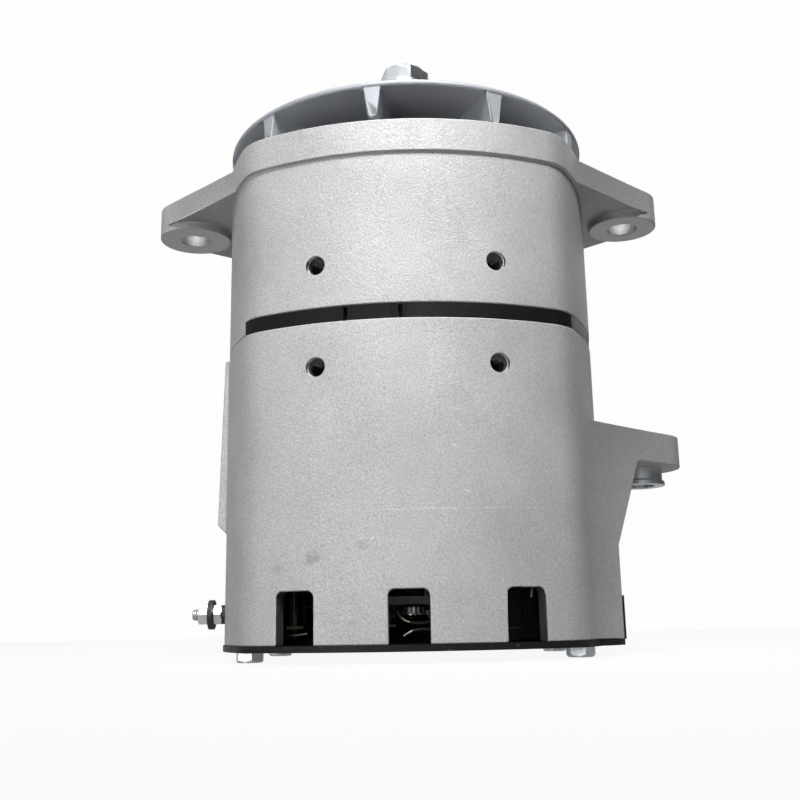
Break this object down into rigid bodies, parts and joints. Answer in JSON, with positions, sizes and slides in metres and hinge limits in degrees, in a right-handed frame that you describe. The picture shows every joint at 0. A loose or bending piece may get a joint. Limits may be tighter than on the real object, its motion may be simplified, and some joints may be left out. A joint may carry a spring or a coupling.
{
  "type": "truck alternator",
  "caption": "Belt-driven alternator with cast two-part housing, front fan, hinge lug, adjusting ear, bare keyed pulley seat and rear air windows.",
  "frame": {"origin": "on the shaft axis, in the plane of the cover bolts' heads that it stands on", "axes": "+Z along the shaft axis from the rear cover to the pulley end, +X towards the hinge lug, -Y is the side that the picture shows"},
  "size_m": [0.238, 0.1886, 0.2813],
  "materials": {
    "cast_housing": "fine sandblasted casting",
    "black_sheet": "black satin paint",
    "zinc": "bright zinc plate",
    "black_steel": "black oxide",
    "laminations": "black lacquered laminations",
    "copper": "enamelled copper wire",
    "tinned": "tinned",
    "bearing_steel": "ground bearing steel",
    "cage_brass": "pressed brass",
    "plain_steel": "forged steel",
    "machined_steel": "machined",
    "former_plastic": "moulded nylon",
    "ring_copper": "turned copper",
    "cast_fan": "as cast, rim turned",
    "sink_aluminium": "pressed sheet",
    "black_plastic": "moulded",
    "carbon": "pressed carbon"
  },
  "bodies": {
    "housing": {"rear_housing": "cast_housing", "front_housing": "cast_housing", "rear_cover": "black_sheet", "cover_bolts": "zinc", "long_bolts": "black_steel", "stator_core": "laminations", "stator_winding": "copper", "phase_leads": "tinned", "front_bearing_outer": "bearing_steel", "rear_bearing_outer": "bearing_steel", "bearing_retainer": "plain_steel", "retainer_screws": "zinc", "negative_heat_sink": "sink_aluminium", "positive_heat_sink": "sink_aluminium", "negative_diodes": "tinned", "positive_diodes": "tinned", "rectifier_insulators": "black_plastic", "rectifier_screws": "zinc", "phase_straps": "tinned", "brush_holder": "black_plastic", "brush_caps": "tinned", "regulator": "black_plastic", "regulator_screws": "zinc", "output_stud": "zinc", "output_insulator": "black_plastic", "output_nut": "zinc", "side_stud": "zinc", "side_insulator": "black_plastic", "side_inner_nut": "zinc", "side_washer": "black_plastic", "side_outer_nut": "zinc"},
    "rotor": {"shaft": "machined_steel", "rear_claw_pole": "plain_steel", "front_claw_pole": "plain_steel", "coil_former": "former_plastic", "field_coil": "copper", "slip_ring_sleeve": "former_plastic", "slip_rings": "ring_copper", "front_bearing_inner": "bearing_steel", "rear_bearing_inner": "bearing_steel", "fan_spacer": "machined_steel", "fan": "cast_fan", "shaft_key": "plain_steel", "shaft_washer": "zinc", "shaft_nut": "zinc"},
    "front_balls": {"front_bearing_balls": "bearing_steel", "front_bearing_cage": "cage_brass"},
    "rear_balls": {"rear_bearing_balls": "bearing_steel", "rear_bearing_cage": "cage_brass"},
    "upper_brush": {"upper_brush": "carbon"},
    "lower_brush": {"lower_brush": "carbon"},
    "hinge_bush": {"hinge_bush": "machined_steel"}
  },
  "joints": [
    {"name": "rotor_spin", "type": "hinge", "parent": "housing", "child": "rotor", "pos_m": [0, 0, 0], "axis": [0, 0, 1], "continuous": true},
    {"name": "front_balls_roll", "type": "hinge", "parent": "housing", "child": "front_balls", "pos_m": [0, 0, 0], "axis": [0, 0, 1], "continuous": true},
    {"name": "rear_balls_roll", "type": "hinge", "parent": "housing", "child": "rear_balls", "pos_m": [0, 0, 0], "axis": [0, 0, 1], "continuous": true},
    {"name": "upper_brush_slide", "type": "slide", "parent": "housing", "child": "upper_brush", "axis": [0.9848, 0.1736, 0], "range_m": [0, 0.003], "stiffness_N_per_m": 400, "springref_m": -0.008},
    {"name": "lower_brush_slide", "type": "slide", "parent": "housing", "child": "lower_brush", "axis": [0.9848, 0.1736, 0], "range_m": [0, 0.003], "stiffness_N_per_m": 400, "springref_m": -0.008},
    {"name": "hinge_bush_slide", "type": "slide", "parent": "housing", "child": "hinge_bush", "axis": [0, 0, 1], "range_m": [0, 0.0044]}
  ],
  "couplings": [
    {"joint": "front_balls_roll", "follows": "rotor_spin", "ratio": 0.38506},
    {"joint": "rear_balls_roll", "follows": "rotor_spin", "ratio": 0.375}
  ]
}
